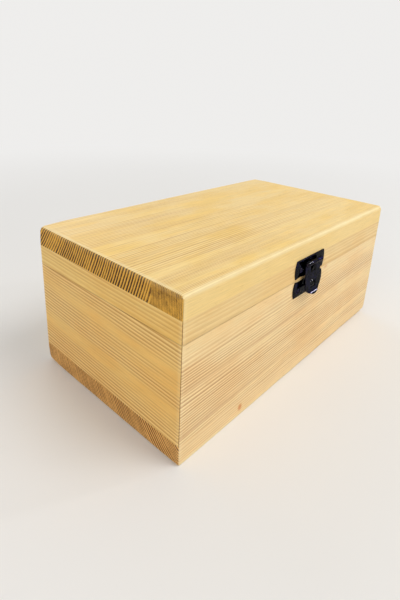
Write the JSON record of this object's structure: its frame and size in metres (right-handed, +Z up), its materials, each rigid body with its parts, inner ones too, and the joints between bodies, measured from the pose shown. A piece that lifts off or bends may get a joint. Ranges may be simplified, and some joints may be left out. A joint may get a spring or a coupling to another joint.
{
  "type": "wooden money box",
  "caption": "Rectangular pine box for banknotes and coins, with mitred walls, a framed lid hinged at the back and a small dark swing latch on the front.",
  "frame": {"origin": "middle of the underside, on the surface that the box stands on", "axes": "+X along the box's length to its right end, -Y towards the front with the latch, +Z up"},
  "size_m": [0.18, 0.1084, 0.076],
  "materials": {
    "pine": "clear satin varnish on planed pine",
    "dark_steel": "glossy black with a violet-blue sheen"
  },
  "bodies": {
    "body": {"bottom_board": "pine", "front_wall": "pine", "back_wall": "pine", "left_wall": "pine", "right_wall": "pine", "latch_lower_plate": "dark_steel", "latch_lower_nails": "dark_steel", "hinge_left_body_leaf": "dark_steel", "hinge_right_body_leaf": "dark_steel", "hinge_left_pin": "dark_steel", "hinge_right_pin": "dark_steel", "hinge_body_nails": "dark_steel"},
    "lid": {"lid_top_board": "pine", "lid_front_strip": "pine", "lid_back_strip": "pine", "lid_left_strip": "pine", "lid_right_strip": "pine", "latch_upper_plate": "dark_steel", "latch_upper_nails": "dark_steel", "latch_pin": "dark_steel", "hinge_left_lid_leaf": "dark_steel", "hinge_right_lid_leaf": "dark_steel", "hinge_lid_nails": "dark_steel"},
    "lever": {"latch_lever": "dark_steel"}
  },
  "joints": [
    {"name": "lid_hinge", "type": "hinge", "parent": "body", "child": "lid", "pos_m": [0, 0.0518, 0.056], "axis": [-1, 0, 0], "range_deg": [0, 180]},
    {"name": "latch_swing", "type": "hinge", "parent": "lid", "child": "lever", "pos_m": [0, -0.0524, 0.064], "axis": [-1, 0, 0], "range_deg": [-6.5, 165]}
  ]
}
